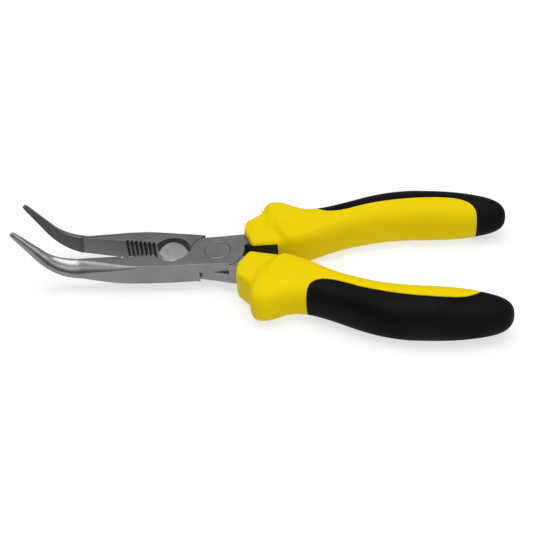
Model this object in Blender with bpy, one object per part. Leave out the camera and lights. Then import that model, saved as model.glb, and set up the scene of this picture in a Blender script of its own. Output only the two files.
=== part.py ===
# Bent long-nose pliers: two forged steel levers on a flush lap-joint rivet, each handle a
# moulded plastic sleeve with a soft grip moulded over its outer side and end.
#
# Frame: Z is the pivot axis, z = 0 on the back face of the lap joint, z = +9 mm on its
# front face. The jaws point to -X and bend towards +Z, the handles run to +X. The tool
# stands open by OPEN_DEG, the pose it is modelled in; each lever is turned by half of it.
import math

import bmesh
import bpy
from mathutils import Matrix, Vector

MM = 0.001

# ---- driving dimensions (mm, degrees) -------------------------------------------------
OPEN_DEG = 12.5            # angle between the levers as modelled
JOINT_T = 9.0              # thickness of the lap joint
MID = JOINT_T / 2.0
LAP_GAP = 0.3              # clearance between the two lap halves
BOSS_R = 11.2              # radius of the round lap boss
SEAT_R = 11.5              # radius of the seat the other lever's boss turns in
RIVET_HEAD_R = 5.3
RIVET_HEAD_T = 2.0
RIVET_SHANK_R = 3.6
RIVET_CLEAR = 0.25
GRIP_CLEAR = 0.1           # each grip face stands this far off the closing plane

NOSE_STRAIGHT = 57.5       # pivot to the start of the bend
NOSE_BEND_R = 20.0
NOSE_BEND_DEG = 50.0

EYE_X = -19.05             # round opening between the jaws
EYE_R = 7.57
EYE_SET = 2.17             # its centre sits this far across the closing plane
EYE_BACK_R = 4.3           # its radius at the back face, at the foot of its sloped flank
FLANK_TOP = 5.6            # height of the flank's upper edge
GROOVE_FIRST = -27.7       # coarse cross grooves behind the nose
GROOVE_PITCH = 1.93
GROOVE_COUNT = 7
GROOVE_W = 1.25
GROOVE_D = 1.1
RELIEF = (-59.9, -41.2, 0.3)   # from, to, depth of the relieved length of the grip face

TANG_T = 7.0               # thickness of the tang inside the handle
FIT = 0.3                  # gap between the tang and its pocket, and between the plastics
SKIN = 2.0                 # thickness of the soft grip

# jaw sections from the pivot to the bend: distance, half width, height to the front and to
# the back of the middle line, lift of that line, edge rounding on the front (across, up) and
# on the back (across, up)
JAW = (
    (5.0, 8.70, 4.50, 4.60, 0.00, 0.3, 0.3, 0.3, 0.3),
    (9.0, 8.68, 4.50, 4.60, 0.00, 0.3, 0.3, 0.3, 0.3),
    (14.0, 8.62, 4.50, 4.65, -0.08, 0.3, 0.3, 0.3, 0.3),
    (18.0, 8.55, 4.50, 4.68, -0.16, 0.3, 0.3, 0.3, 0.3),
    (27.0, 8.30, 4.48, 4.65, -0.20, 0.3, 0.3, 0.35, 0.35),
    (32.0, 8.17, 4.45, 4.60, -0.20, 0.4, 0.4, 0.4, 0.4),
    (36.5, 8.05, 4.45, 4.58, -0.20, 1.3, 1.2, 0.7, 0.6),
    (41.0, 7.82, 4.45, 4.58, -0.20, 2.2, 1.9, 1.3, 1.1),
    (45.0, 7.40, 4.40, 4.58, -0.15, 3.0, 2.6, 1.9, 1.5),
    (49.3, 6.86, 4.34, 4.60, -0.05, 3.7, 3.3, 2.9, 2.0),
    (53.5, 6.30, 4.20, 4.60, 0.08, 4.1, 4.0, 3.8, 2.7),
    (57.5, 5.82, 3.98, 4.55, 0.20, 4.3, 4.5, 4.6, 3.3),
)
# from the start of the bend to the tip: arc distance from there, half width, height to the
# front and to the back of the middle line
NOSE = (
    (2.4, 5.50, 3.86, 4.48), (4.6, 5.20, 3.68, 4.38), (6.6, 4.90, 3.52, 4.28),
    (9.3, 4.42, 3.22, 4.05), (11.6, 4.00, 2.98, 3.85), (14.2, 3.52, 2.70, 3.60),
    (17.45, 3.00, 2.42, 3.22), (20.8, 2.58, 2.20, 2.82), (24.2, 2.22, 1.92, 2.38),
    (29.1, 1.76, 1.60, 1.80), (31.6, 1.45, 1.28, 1.38), (32.7, 1.15, 0.88, 0.95),
)

# handle form in the modelled pose: x, inner edge, outer edge, half thickness, squareness of
# the outer and of the inner side
HANDLE = (
    (9.9, 9.6, 16.8, 6.5, 5.0, 5.0),
    (11.4, 7.2, 18.2, 7.0, 5.5, 5.5),
    (13.9, 2.1, 20.8, 7.3, 6.0, 6.0),
    (15.6, 2.05, 22.8, 7.5, 5.5, 6.0),
    (16.2, 2.1, 25.6, 7.9, 4.6, 6.0),
    (17.0, 2.2, 28.7, 8.5, 4.0, 6.0),
    (18.8, 2.4, 31.0, 9.0, 3.5, 6.0),
    (22.4, 2.8, 31.9, 9.15, 3.1, 5.6),
    (27.0, 3.3, 30.3, 9.1, 3.0, 5.0),
    (29.4, 3.65, 29.1, 9.0, 2.9, 4.6),
    (31.0, 4.0, 28.4, 8.9, 2.9, 4.2),
    (35.0, 5.2, 27.6, 8.8, 2.8, 3.7),
    (40.0, 7.6, 28.2, 8.8, 2.7, 3.3),
    (45.0, 10.6, 29.7, 8.9, 2.6, 3.0),
    (50.0, 13.2, 31.6, 9.0, 2.6, 2.9),
    (55.0, 15.4, 33.7, 9.2, 2.6, 2.9),
    (60.0, 17.2, 35.9, 9.35, 2.6, 2.9),
    (66.0, 18.8, 38.0, 9.45, 2.6, 2.8),
    (72.0, 19.8, 39.5, 9.55, 2.6, 2.8),
    (79.0, 20.5, 40.4, 9.6, 2.6, 2.8),
    (86.0, 20.8, 40.6, 9.55, 2.5, 2.8),
    (93.0, 20.9, 40.3, 9.3, 2.5, 2.7),
    (100.0, 21.4, 39.7, 8.8, 2.5, 2.6),
    (106.0, 22.3, 38.8, 8.1, 2.4, 2.4),
    (111.0, 23.4, 37.5, 7.2, 2.4, 2.3),
    (114.6, 24.8, 35.9, 5.9, 2.3, 2.2),
    (116.8, 26.5, 33.8, 4.1, 2.1, 2.1),
    (117.7, 28.4, 31.6, 1.8, 2.0, 2.0),
)

# edge of the soft grip seen from above: x, distance from the middle line
GRIP_EDGE = (
    (38.8, 48.0), (38.8, 28.2), (39.2, 25.8), (40.3, 23.6), (42.2, 22.2), (44.6, 21.6),
    (47.5, 21.8), (50.5, 22.5), (55.0, 24.2), (60.0, 26.1), (65.0, 27.6), (70.0, 28.8),
    (75.0, 29.7), (80.0, 30.4), (85.0, 30.8), (90.0, 31.0), (95.0, 30.9), (99.0, 30.2),
    (102.0, 28.8), (104.2, 26.7), (105.4, 24.0), (105.8, 20.5), (105.8, 12.0),
)

# tang in the modelled pose: x, inner edge, outer edge
TANG_NECK = ((9.5, 3.9, 10.2), (13.0, 3.3, 11.4), (17.0, 3.4, 13.0), (21.0, 3.6, 15.0),
             (25.5, 4.6, 17.0))
TANG_ROD = ((23.5, 5.0, 15.6), (30.0, 8.4, 18.6), (38.0, 12.4, 21.6), (46.0, 16.4, 24.4),
            (54.0, 20.0, 27.6), (62.0, 23.0, 30.4), (70.0, 25.2, 32.2), (80.0, 27.0, 33.2),
            (90.0, 27.8, 33.0), (96.0, 28.4, 32.2))


# ---- helpers -----------------------------------------------------------------------------
def clear_scene():
    for ob in list(bpy.data.objects):
        bpy.data.objects.remove(ob, do_unlink=True)
    for block in (bpy.data.meshes, bpy.data.materials, bpy.data.curves):
        for item in list(block):
            block.remove(item)
    for coll in list(bpy.data.collections):
        bpy.data.collections.remove(coll)


def collection(name):
    coll = bpy.data.collections.new(name)
    bpy.context.scene.collection.children.link(coll)
    return coll


def material(name, rgb, metallic, rough):
    mat = bpy.data.materials.new(name)
    mat.use_nodes = True
    bsdf = mat.node_tree.nodes["Principled BSDF"]
    bsdf.inputs["Base Color"].default_value = (*rgb, 1.0)
    bsdf.inputs["Metallic"].default_value = metallic
    bsdf.inputs["Roughness"].default_value = rough
    mat.diffuse_color = (*rgb, 1.0)
    return mat


def mesh_object(name, verts, faces, coll):
    mesh = bpy.data.meshes.new(name)
    mesh.from_pydata([Vector(v) * MM for v in verts], [], faces)
    bm = bmesh.new()
    bm.from_mesh(mesh)
    bmesh.ops.recalc_face_normals(bm, faces=bm.faces)
    bm.to_mesh(mesh)
    bm.free()
    ob = bpy.data.objects.new(name, mesh)
    coll.objects.link(ob)
    return ob


def cutter_look(ob):
    ob.hide_render = True
    ob.display_type = "WIRE"
    return ob


def loft(name, sections, coll):
    """Closed body through sections that all have the same number of corners."""
    count = len(sections[0])
    verts = [p for sec in sections for p in sec]
    faces = []
    for i in range(len(sections) - 1):
        for j in range(count):
            k = (j + 1) % count
            faces.append((i * count + j, i * count + k, (i + 1) * count + k,
                          (i + 1) * count + j))
    faces.append(tuple(range(count)))
    last = (len(sections) - 1) * count
    faces.append(tuple(last + j for j in range(count)))
    return mesh_object(name, verts, faces, coll)


def prism(name, outline, z0, z1, coll):
    """Flat outline drawn up from z0 to z1."""
    return loft(name, [[(x, y, z) for x, y in outline] for z in (z0, z1)], coll)


def cylinder(name, x, y, radius, z0, z1, coll, steps=48):
    ring = [(x + radius * math.cos(2 * math.pi * i / steps),
             y + radius * math.sin(2 * math.pi * i / steps)) for i in range(steps)]
    return prism(name, ring, z0, z1, coll)


def combine(target, tool, how):
    mod = target.modifiers.new(how.lower(), "BOOLEAN")
    mod.operation = how
    mod.solver = "EXACT"
    mod.object = tool
    with bpy.context.temp_override(object=target, active_object=target,
                                   selected_objects=[target]):
        bpy.ops.object.modifier_apply(modifier=mod.name)


def turn(ob, degrees):
    ob.data.transform(Matrix.Rotation(math.radians(degrees), 4, "Z"))


def arc(radius, start_deg, end_deg, steps):
    return [(radius * math.cos(math.radians(start_deg + (end_deg - start_deg) * i / steps)),
             radius * math.sin(math.radians(start_deg + (end_deg - start_deg) * i / steps)))
            for i in range(steps + 1)]


def strip(rows, side, grow=0.0, lead=0.0):
    """Outline of a band given by its inner and outer edge, grown on every side."""
    inner = [[x, a - grow] for x, a, b in rows]
    outer = [[x, b + grow] for x, a, b in rows]
    for edge in (inner, outer):
        edge[0][0] -= lead
        edge[-1][0] += grow
    return [(x, side * y) for x, y in inner + outer[::-1]]


# ---- steel levers ------------------------------------------------------------------------
def jaw_section(x, z, tilt_deg, width, top, low, front, back, side, steps=5):
    """One slice of the nose: flat on the grip side, rounded on the two outer edges."""
    flat = [(GRIP_CLEAR, -low)]
    across, up = back
    for i in range(steps + 1):
        t = math.pi / 2 * i / steps
        flat.append((width - across + across * math.sin(t), -low + up - up * math.cos(t)))
    across, up = front
    for i in range(steps + 1):
        t = math.pi / 2 * i / steps
        flat.append((width - across + across * math.cos(t), top - up + up * math.sin(t)))
    flat.append((GRIP_CLEAR, top))
    c, s = math.cos(math.radians(tilt_deg)), math.sin(math.radians(tilt_deg))
    return [(x + n * s, side * y, z + n * c) for y, n in flat]


def jaw(name, side, coll):
    rows = []
    for dist, width, top, low, lift, fa, fu, ba, bu in JAW:
        rows.append(jaw_section(-dist, MID + lift, 0.0, width, top, low, (fa, fu), (ba, bu),
                                side))
    bend_len = math.radians(NOSE_BEND_DEG) * NOSE_BEND_R
    for dist, width, top, low in NOSE:
        angle = min(dist, bend_len) / NOSE_BEND_R
        extra = max(0.0, dist - bend_len)
        x = -(NOSE_STRAIGHT + NOSE_BEND_R * math.sin(angle)) - extra * math.cos(angle)
        z = MID + lift + NOSE_BEND_R * (1 - math.cos(angle)) + extra * math.sin(angle)
        front = (width * 0.82, (top + low) * 0.56)
        back = (width * 0.82, (top + low) * 0.40)
        rows.append(jaw_section(x, z, math.degrees(angle), width, top, low, front, back, side))
    return loft(name, rows, coll)


def lap_outline(side):
    """Plan of the lap half with its round boss, in the closed position."""
    pts = [(-9.5, 8.2), (-8.0, 8.66), (0.7, 8.72), (4.0, 9.0)]
    pts += arc(BOSS_R, 57.0, -11.0, 12)
    pts += [(13.0, -3.4), (13.0, -8.4), (11.0, -9.36), (6.9, -9.2), (0.7, -8.7)]
    pts += arc(BOSS_R, 229.5, 180.6, 10)
    pts += [(-11.0, 0.6), (-11.0, 4.0)]
    return [(x, side * y) for x, y in pts]


def eye_cutter(side, coll):
    """Round opening between the jaws, closing in towards the back over a sloped flank."""
    steps = 52
    below = 1.0
    foot = EYE_BACK_R - (EYE_R - EYE_BACK_R) * below / FLANK_TOP
    rows = []
    for radius, z in ((foot, -below), (EYE_R, FLANK_TOP), (EYE_R, JOINT_T + 1.0)):
        rows.append([(EYE_X + radius * math.cos(2 * math.pi * i / steps),
                      -side * EYE_SET + radius * math.sin(2 * math.pi * i / steps), z)
                     for i in range(steps)])
    return cutter_look(loft("eye", rows, coll))


def lever(name, side, keep_front, parts, cutters):
    """side is where the jaw lies (+1 is +Y); the handle leaves on the other side."""
    body = jaw(name, side, parts)
    lap = cutter_look(prism("lap", lap_outline(side), 0.0, JOINT_T, cutters))
    combine(body, lap, "UNION")

    # half of the joint is cleared for the other lever's boss
    low, high = (-1.0, MID + LAP_GAP / 2) if keep_front else (MID - LAP_GAP / 2, 10.0)
    combine(body, cutter_look(cylinder("seat", 0, 0, SEAT_R, low, high, cutters, 72)),
            "DIFFERENCE")
    combine(body, eye_cutter(side, cutters), "DIFFERENCE")

    for i in range(GROOVE_COUNT):
        x = GROOVE_FIRST - i * GROOVE_PITCH
        half = GROOVE_W / 2
        shape = [(x - half, -0.5), (x - half, GROOVE_D * 0.45), (x - half * 0.55, GROOVE_D),
                 (x + half * 0.55, GROOVE_D), (x + half, GROOVE_D * 0.45), (x + half, -0.5)]
        cut = prism("groove", [(px, side * py) for px, py in shape], -1.0, 11.0, cutters)
        combine(body, cutter_look(cut), "DIFFERENCE")
    x0, x1, deep = RELIEF
    shape = [(x0, -0.5), (x0 + 0.15, deep), (x1 - 0.15, deep), (x1, -0.5)]
    cut = prism("relief", [(px, side * py) for px, py in shape], -2.0, 16.0, cutters)
    combine(body, cutter_look(cut), "DIFFERENCE")

    hole_r = RIVET_SHANK_R + RIVET_CLEAR
    head_r = RIVET_HEAD_R + RIVET_CLEAR
    combine(body, cutter_look(cylinder("hole", 0, 0, hole_r, -1.0, 11.0, cutters, 40)),
            "DIFFERENCE")
    if keep_front:
        seat = (JOINT_T - RIVET_HEAD_T - RIVET_CLEAR, 11.0)
    else:
        seat = (-2.0, RIVET_HEAD_T + RIVET_CLEAR)
    combine(body, cutter_look(cylinder("head seat", 0, 0, head_r, *seat, cutters, 48)),
            "DIFFERENCE")

    turn(body, -side * OPEN_DEG / 2)

    # neck and tang, set out in the modelled pose
    neck = cutter_look(prism("neck", strip(TANG_NECK, -side), 0.0, JOINT_T, cutters))
    ring = cutter_look(cylinder("ring", 0, 0, SEAT_R, -1.0, 11.0, cutters, 72))
    combine(neck, ring, "DIFFERENCE")
    combine(body, neck, "UNION")
    rod = prism("rod", strip(TANG_ROD, -side), MID - TANG_T / 2, MID + TANG_T / 2, cutters)
    combine(body, cutter_look(rod), "UNION")
    return body


# ---- handles -----------------------------------------------------------------------------
def handle_value(x, column):
    for a, b in zip(HANDLE, HANDLE[1:]):
        if a[0] <= x <= b[0]:
            return a[column] + (b[column] - a[column]) * (x - a[0]) / (b[0] - a[0])
    return HANDLE[0][column] if x < HANDLE[0][0] else HANDLE[-1][column]


def handle_form(name, side, inset, x_from, x_to, coll, corners=24):
    """Rounded-square handle body, optionally shrunk by inset all round."""
    xs = [x_from] + [row[0] for row in HANDLE if x_from < row[0] < x_to] + [x_to]
    rows = []
    for x in xs:
        near, far = handle_value(x, 1) + inset, handle_value(x, 2) - inset
        half = handle_value(x, 3) - inset
        mid, wide = (near + far) / 2, (far - near) / 2
        ring = []
        for i in range(corners):
            t = 2 * math.pi * (i + 0.5) / corners
            c, s = math.cos(t), math.sin(t)
            power = 2.0 / handle_value(x, 4 if c > 0 else 5)
            ring.append((x, side * (mid + wide * math.copysign(abs(c) ** power, c)),
                         MID + half * math.copysign(abs(s) ** power, s)))
        rows.append(ring)
    return loft(name, rows, coll)


def grip_outline(side, grow):
    """Plan of the region taken by the soft grip, grown towards the plastic."""
    edge = []
    pts = [Vector(p) for p in GRIP_EDGE]
    for i, p in enumerate(pts):
        a, b = pts[max(i - 1, 0)], pts[min(i + 1, len(pts) - 1)]
        along = (b - a).normalized()
        edge.append((p.x + along.y * grow, p.y - along.x * grow))
    edge += [(125.0, 12.0), (125.0, 48.0)]
    return [(x, side * y) for x, y in edge]


def handle(sleeve_name, grip_name, side, parts, cutters):
    """side is where the handle lies (+1 is +Y)."""
    x0, x1 = HANDLE[0][0], HANDLE[-1][0]
    grip = handle_form(grip_name, side, 0.0, x0, x1, parts)
    zone = cutter_look(prism("grip zone", grip_outline(side, 0.0), -12.0, 21.0, cutters))
    combine(grip, zone, "INTERSECT")
    core = cutter_look(handle_form("core", side, SKIN, 30.0, 112.0, cutters))
    combine(grip, core, "DIFFERENCE")

    sleeve = handle_form(sleeve_name, side, 0.0, x0, x1, parts)
    zone = cutter_look(prism("grip seat", grip_outline(side, FIT), -12.0, 21.0, cutters))
    core = cutter_look(handle_form("inner core", side, SKIN + FIT, 30.0, 111.6, cutters))
    combine(zone, core, "DIFFERENCE")
    combine(sleeve, zone, "DIFFERENCE")

    # pocket for the steel, and the window on the inner side that shows it
    neck = prism("neck pocket", strip(TANG_NECK, side, FIT, 4.0), -FIT, JOINT_T + FIT, cutters)
    combine(sleeve, cutter_look(neck), "DIFFERENCE")
    half = TANG_T / 2 + FIT
    rod = prism("rod pocket", strip(TANG_ROD, side, FIT), MID - half, MID + half, cutters)
    combine(sleeve, cutter_look(rod), "DIFFERENCE")
    window = [(5.0, side * -1.0), (24.6, side * -1.0), (24.6, side * 5.0),
              (5.0, side * 5.0)]
    cut = prism("window", window, -FIT - 0.4, JOINT_T + FIT + 0.4, cutters)
    combine(sleeve, cutter_look(cut), "DIFFERENCE")
    return sleeve, grip


def rivet(name, coll):
    rows = []
    steps = 40
    for radius, z in ((RIVET_HEAD_R, 0.0), (RIVET_HEAD_R, RIVET_HEAD_T),
                      (RIVET_SHANK_R, RIVET_HEAD_T), (RIVET_SHANK_R, JOINT_T - RIVET_HEAD_T),
                      (RIVET_HEAD_R, JOINT_T - RIVET_HEAD_T), (RIVET_HEAD_R, JOINT_T)):
        rows.append([(radius * math.cos(2 * math.pi * i / steps),
                      radius * math.sin(2 * math.pi * i / steps), z) for i in range(steps)])
    return loft(name, rows, coll)


def finish(ob, mat, smooth_deg):
    ob.data.materials.clear()
    ob.data.materials.append(mat)
    bm = bmesh.new()
    bm.from_mesh(ob.data)
    bmesh.ops.remove_doubles(bm, verts=bm.verts, dist=0.000002)
    bmesh.ops.dissolve_degenerate(bm, edges=bm.edges, dist=0.000001)
    bmesh.ops.recalc_face_normals(bm, faces=bm.faces)
    limit = math.radians(smooth_deg)
    for face in bm.faces:
        face.smooth = True
    for edge in bm.edges:
        if len(edge.link_faces) == 2:
            edge.smooth = edge.calc_face_angle() < limit
    bm.to_mesh(ob.data)
    bm.free()


def build():
    clear_scene()
    parts = collection("needle_nose_pliers")
    cutters = collection("cutters")

    steel = (0.36, 0.36, 0.37)
    yellow = (0.86, 0.66, 0.005)
    black = (0.012, 0.012, 0.013)

    back = lever("back_lap_lever", 1, False, parts, cutters)
    finish(back, material("back_lever_steel", steel, 1.0, 0.38), 30)
    front = lever("front_lap_lever", -1, True, parts, cutters)
    finish(front, material("front_lever_steel", steel, 1.0, 0.38), 30)
    pin = rivet("pivot_rivet", parts)
    finish(pin, material("rivet_steel", (0.42, 0.42, 0.43), 1.0, 0.34), 30)

    names = (("back_lever_sleeve", "back_lever_grip", -1),
             ("front_lever_sleeve", "front_lever_grip", 1))
    for sleeve_name, grip_name, side in names:
        sleeve, grip = handle(sleeve_name, grip_name, side, parts, cutters)
        finish(sleeve, material(sleeve_name + "_plastic", yellow, 0.0, 0.42), 35)
        finish(grip, material(grip_name + "_rubber", black, 0.0, 0.6), 35)


build()
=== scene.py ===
"""Bent long-nose pliers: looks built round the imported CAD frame.

Lengths are in millimetres in the frame's own axes and are scaled to metres when a mesh is
made: Z is the pivot axis, the jaws point to -X, the handles run to +X.
"""

import math

import bmesh
import bpy
import numpy as np
from mathutils import Matrix, Vector


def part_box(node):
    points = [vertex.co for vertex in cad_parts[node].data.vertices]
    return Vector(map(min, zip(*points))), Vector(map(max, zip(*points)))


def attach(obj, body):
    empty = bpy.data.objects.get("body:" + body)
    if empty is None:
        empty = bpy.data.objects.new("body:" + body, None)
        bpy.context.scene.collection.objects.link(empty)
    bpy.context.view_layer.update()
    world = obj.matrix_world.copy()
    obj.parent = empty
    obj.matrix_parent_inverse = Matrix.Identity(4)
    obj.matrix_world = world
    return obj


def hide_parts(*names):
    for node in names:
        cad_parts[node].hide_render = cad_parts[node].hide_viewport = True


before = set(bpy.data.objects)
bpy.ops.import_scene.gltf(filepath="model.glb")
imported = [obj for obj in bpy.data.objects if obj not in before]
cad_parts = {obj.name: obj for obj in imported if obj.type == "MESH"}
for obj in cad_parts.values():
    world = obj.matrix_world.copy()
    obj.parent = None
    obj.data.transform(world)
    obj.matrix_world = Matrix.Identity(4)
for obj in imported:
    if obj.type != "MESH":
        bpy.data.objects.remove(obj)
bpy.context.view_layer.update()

MM = 0.001

# ---- dimensions shared with the CAD (mm, degrees) ----------------------------------------
OPEN_DEG = 12.5            # angle between the levers as modelled
JOINT_T = 9.0              # height of the joint's front face
MID = JOINT_T / 2.0
LAP_GAP = 0.3              # clearance between the two lap halves
BOSS_R = 11.2              # round lap boss
SEAT_R = 11.5              # seat the other lever's boss turns in
RIVET_HEAD_R = 5.3
RIVET_HEAD_T = 2.0
RIVET_SHANK_R = 3.6
GRIP_CLEAR = 0.1           # each grip face stands this far off the closing plane
NOSE_STRAIGHT = 57.5       # pivot to the start of the bend
NOSE_BEND_R = 20.0
NOSE_BEND_DEG = 50.0
EYE_X = -19.05             # round opening between the jaws
EYE_R = 7.57
EYE_SET = 2.17             # its centre lies this far across the closing plane
GROOVE_FIRST = -27.7       # cross grooves behind the nose
GROOVE_PITCH = 1.93
GROOVE_COUNT = 7
GROOVE_W = 1.25
TANG_T = 7.0               # thickness of the tang inside the handle
POCKET_FIT = 0.3           # gap between the tang and its pocket
SKIN = 2.0                 # thickness of the soft grip

# ---- dimensions of the looks only (mm) ---------------------------------------------------
BACK = -0.35               # back face of the joint; the CAD keeps it at 0
LIP = 0.12                 # small chamfer left by deburring on the steel edges
FLARE = 0.8                # how far a chamfering cutter runs on past the face it opens on
RIVET_CLEAR = 0.07         # fine gap round the rivet
RIVET_RIM = ((-0.2, 0.0), (-0.07, 0.05), (0.0, 0.2))    # across and down from its top edge
FLANK_TOP = 6.1            # height at which the sloped flank meets the opening's wall
FLANK_SHIFT = 1.5          # along the jaw, from the opening's middle
FLANK_FOOT = 2.5           # distance of the flank from the closing plane at z = 0
FLANK_SET = 7.2            # how far its axis lies beyond the closing plane
FLANK_SPAN = (-3.0, 14.0)  # heights between which its cutter is drawn
GROOVE_D = 1.5
GROOVE_MOUTH = ((0.6, -0.5), (0.0, 0.25))    # broken edge: out from the wall, depth
RELIEF = (24.6, 59.75, 0.45)     # relieved length of the grip face: from, to, depth
TEETH_FROM = 59.8          # fine teeth on the nose, from here to the tip
TEETH_PITCH = 0.8
TEETH_DEPTH = 0.2
TEETH_TO_TIP = 0.6         # length left smooth at the tip
GRIP_FACE_BAND = 0.8       # steel this close to the closing plane belongs to the grip face
SCALE_FROM = 14.0          # x from where all of the steel keeps its dark scale
SHADE_GAP = (9.0, 7.0)     # least x and largest |y| of the faces between the collars painted black as shade in the gap
BEVEL = 1.25               # 1 is a round front edge on the jaws, 2 a straight bevel
NOSE_FRONT = (0.87, 0.53)  # edge rounding on the nose, as shares of its half width and
NOSE_BACK = (0.86, 0.46)   # thickness, on the front and on the back
JAW_STEP = 0.75            # between two slices of the jaw, before the teeth
COLLAR_HALF = 7.35         # half thickness of the flat collar
HOOD_ACROSS = (2.0, 6.0, 12.0, 18.0, 25.0)     # across the handle, and where the finger
HOOD_FRONT = (27.0, 24.5, 20.5, 17.5, 15.2)    # guard starts to rise from the collar there
HOOD_RAMP = 4.0            # length of that rise
HOOD_END = 45.0            # x beyond which the handle has no flat collar to rise from
HANDLE_STEP = 0.8          # about the distance between two slices of the handle
HANDLE_CORNERS = 80        # corners of one slice
CORE_CORNERS = 40          # corners of one slice of the core that the soft grip covers
CORE_SPAN = (30.0, 112.0)  # x between which that core runs
CORE_EVERY = 4             # the core keeps every fourth slice of the handle
EVEN_FROM = 33.0           # the handle is evened out beyond here
EVEN_PASSES = 8
EVEN_EASE = 3.0            # over this length the evening out fades in, and out at the end
GRIP_FIT = 0.06            # gap between the two plastics
SEAM_R = 0.2               # rounded groove where the two plastics meet
SEAM_STEP = 0.45           # least distance between two slices of the bead that cuts it
SEAM_SIDES = 8             # corners of one slice of the bead
NECK_LEAD = 4.0            # how far the neck's pocket runs out of the collar's mouth
WINDOW = ((5.0, -1.0), (24.6, -1.0), (24.6, 5.0), (5.0, 5.0))    # shows the tang's inner face
FLOOR_GAP = 0.05           # floor to the lowest point of the handles

# heights and outer limits of cutters that are drawn right through a piece
THROUGH_STEEL = (-1.0, 11.0)
THROUGH_HANDLE = (-12.0, 21.0)
PAST_HANDLE = (12.0, 48.0, 125.0)    # nearest and farthest y, farthest x

# corners of round cutters and of the rivet
SEAT_STEPS = 144
FLANK_STEPS = 160
HEAD_STEPS = 96
SHANK_STEPS = 64

# edges sharper than this are left unsmoothed (degrees)
CREASE_STEEL = 28
CREASE_RIVET = 10
CREASE_PLASTIC = 32

# finishes of a lever, in the order of its material slots; the groove finish is darker steel
# painted as shade in the grooves and on the round opening's wall
# the flank finish is pale steel, a painted highlight on the opening's sloped flank
LEVER_FINISHES = ("ground", "groove", "grip face", "flank", "scale_and_shade", "teeth")
# the scale finish is forge scale on the tang, and painted shade on the neck's inner faces in the
# gap between the collars
GROUND, RECESS_SHADE, GRIP_FACE, FLANK, SCALE_AND_SHADE, TEETH = range(len(LEVER_FINISHES))

# jaw from the pivot to the bend: distance, half width, height to the front and to the back
# of the middle line, lift of that line, edge rounding on the front (across, up) and on the
# back (across, up)
JAW = (
    (5.0, 8.70, 4.50, 4.60, 0.00, 0.14, 0.14, 0.3, 0.3),
    (9.0, 8.68, 4.50, 4.60, 0.00, 0.14, 0.14, 0.3, 0.3),
    (14.0, 8.62, 4.50, 4.65, -0.08, 0.14, 0.14, 0.3, 0.3),
    (18.0, 8.55, 4.50, 4.68, -0.16, 0.14, 0.14, 0.3, 0.3),
    (27.0, 8.30, 4.48, 4.65, -0.20, 0.16, 0.16, 0.35, 0.35),
    (32.0, 8.17, 4.45, 4.60, -0.20, 0.4, 0.4, 0.4, 0.4),
    (36.5, 8.05, 4.45, 4.58, -0.20, 1.3, 1.2, 0.7, 0.6),
    (41.0, 7.82, 4.45, 4.58, -0.20, 2.2, 1.9, 1.3, 1.1),
    (45.0, 7.38, 4.40, 4.56, -0.15, 3.1, 2.6, 1.9, 1.6),
    (49.3, 6.86, 4.34, 4.58, -0.05, 3.9, 3.3, 2.9, 2.3),
    (53.5, 6.36, 4.20, 4.58, 0.08, 4.6, 4.0, 3.9, 3.1),
    (57.5, 5.95, 3.98, 4.55, 0.20, 5.1, 4.6, 4.9, 3.8),
)
# from the start of the bend to the tip: arc distance, half width, height to the front and
# to the back of the middle line
NOSE = (
    (2.4, 5.70, 3.88, 4.48), (4.6, 5.42, 3.72, 4.38), (6.6, 5.12, 3.56, 4.28),
    (9.3, 4.62, 3.26, 4.05), (11.6, 4.14, 3.00, 3.85), (14.2, 3.58, 2.70, 3.58),
    (17.45, 3.00, 2.42, 3.22), (20.8, 2.58, 2.20, 2.82), (24.2, 2.22, 1.92, 2.38),
    (29.1, 1.76, 1.60, 1.80), (31.6, 1.45, 1.28, 1.38), (32.7, 1.15, 0.88, 0.95),
)
# handle: x, inner edge, outer edge, half thickness, squareness of the outer and inner side
HANDLE = (
    (9.9, 10.0, 16.4, 6.1, 5.0, 5.0),
    (10.3, 9.0, 17.2, 6.6, 5.2, 5.2),
    (11.4, 7.2, 18.2, 7.0, 5.5, 5.5),
    (13.6, 2.7, 20.5, 7.3, 6.0, 6.0),
    (14.2, 2.15, 21.1, 7.35, 6.0, 6.0),
    (15.6, 2.05, 22.8, 7.5, 5.5, 6.0),
    (16.2, 2.1, 25.6, 7.9, 4.6, 6.0),
    (17.0, 2.2, 28.7, 8.5, 4.0, 6.0),
    (18.8, 2.4, 31.0, 9.0, 3.5, 6.0),
    (22.4, 2.8, 31.9, 9.15, 3.1, 5.6),
    (27.0, 3.3, 30.3, 9.1, 3.0, 5.0),
    (29.4, 3.65, 29.1, 9.0, 2.9, 4.6),
    (31.0, 4.0, 28.4, 8.9, 2.9, 4.2),
    (35.0, 5.2, 27.6, 8.8, 2.8, 3.7),
    (40.0, 7.6, 28.2, 8.8, 2.7, 3.3),
    (45.0, 10.6, 29.7, 8.9, 2.6, 3.0),
    (50.0, 13.2, 31.6, 9.0, 2.6, 2.9),
    (55.0, 15.4, 33.7, 9.2, 2.6, 2.9),
    (60.0, 17.2, 35.9, 9.35, 2.6, 2.9),
    (66.0, 18.8, 38.0, 9.45, 2.6, 2.8),
    (72.0, 19.8, 39.5, 9.5, 2.6, 2.8),
    (79.0, 20.5, 40.4, 9.52, 2.6, 2.8),
    (86.0, 20.8, 40.5, 9.5, 2.5, 2.8),
    (93.0, 20.9, 40.3, 9.3, 2.5, 2.7),
    (100.0, 21.4, 39.7, 8.8, 2.5, 2.6),
    (106.0, 22.3, 38.8, 8.1, 2.4, 2.4),
    (111.0, 23.4, 37.5, 7.2, 2.4, 2.3),
    (114.6, 24.8, 35.9, 5.9, 2.3, 2.2),
    (116.4, 26.2, 34.2, 4.5, 2.1, 2.1),
    (117.4, 27.9, 32.3, 2.5, 2.0, 2.0),
    (117.7, 29.6, 30.6, 0.4, 2.0, 2.0),
)
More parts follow.
